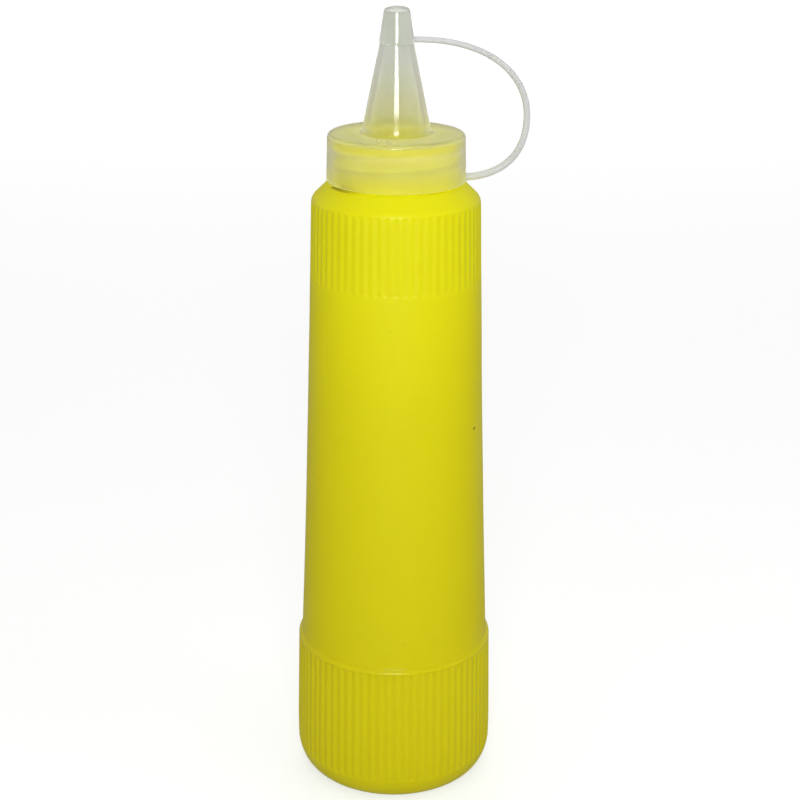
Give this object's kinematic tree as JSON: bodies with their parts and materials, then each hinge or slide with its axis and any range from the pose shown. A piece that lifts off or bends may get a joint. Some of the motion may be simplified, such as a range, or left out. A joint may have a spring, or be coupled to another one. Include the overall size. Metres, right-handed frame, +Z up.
{
  "type": "squeeze bottle",
  "caption": "Soft plastic squeeze bottle for sauce, with fluted grip bands, a screwed cone nozzle cap and a strapped tip cover.",
  "frame": {"origin": "centre of the flat base, on the surface that the bottle stands on", "axes": "+Z up along the bottle's axis, +X to the side that the strap loops out on, -Y to the front"},
  "size_m": [0.0707, 0.0634, 0.2454],
  "materials": {
    "bottle_plastic": "satin yellow polyethylene",
    "cap_plastic": "milky natural polyethylene"
  },
  "bodies": {
    "root": {"bottle": "bottle_plastic", "nozzle_cap": "cap_plastic", "tip_cover": "cap_plastic"}
  },
  "joints": []
}
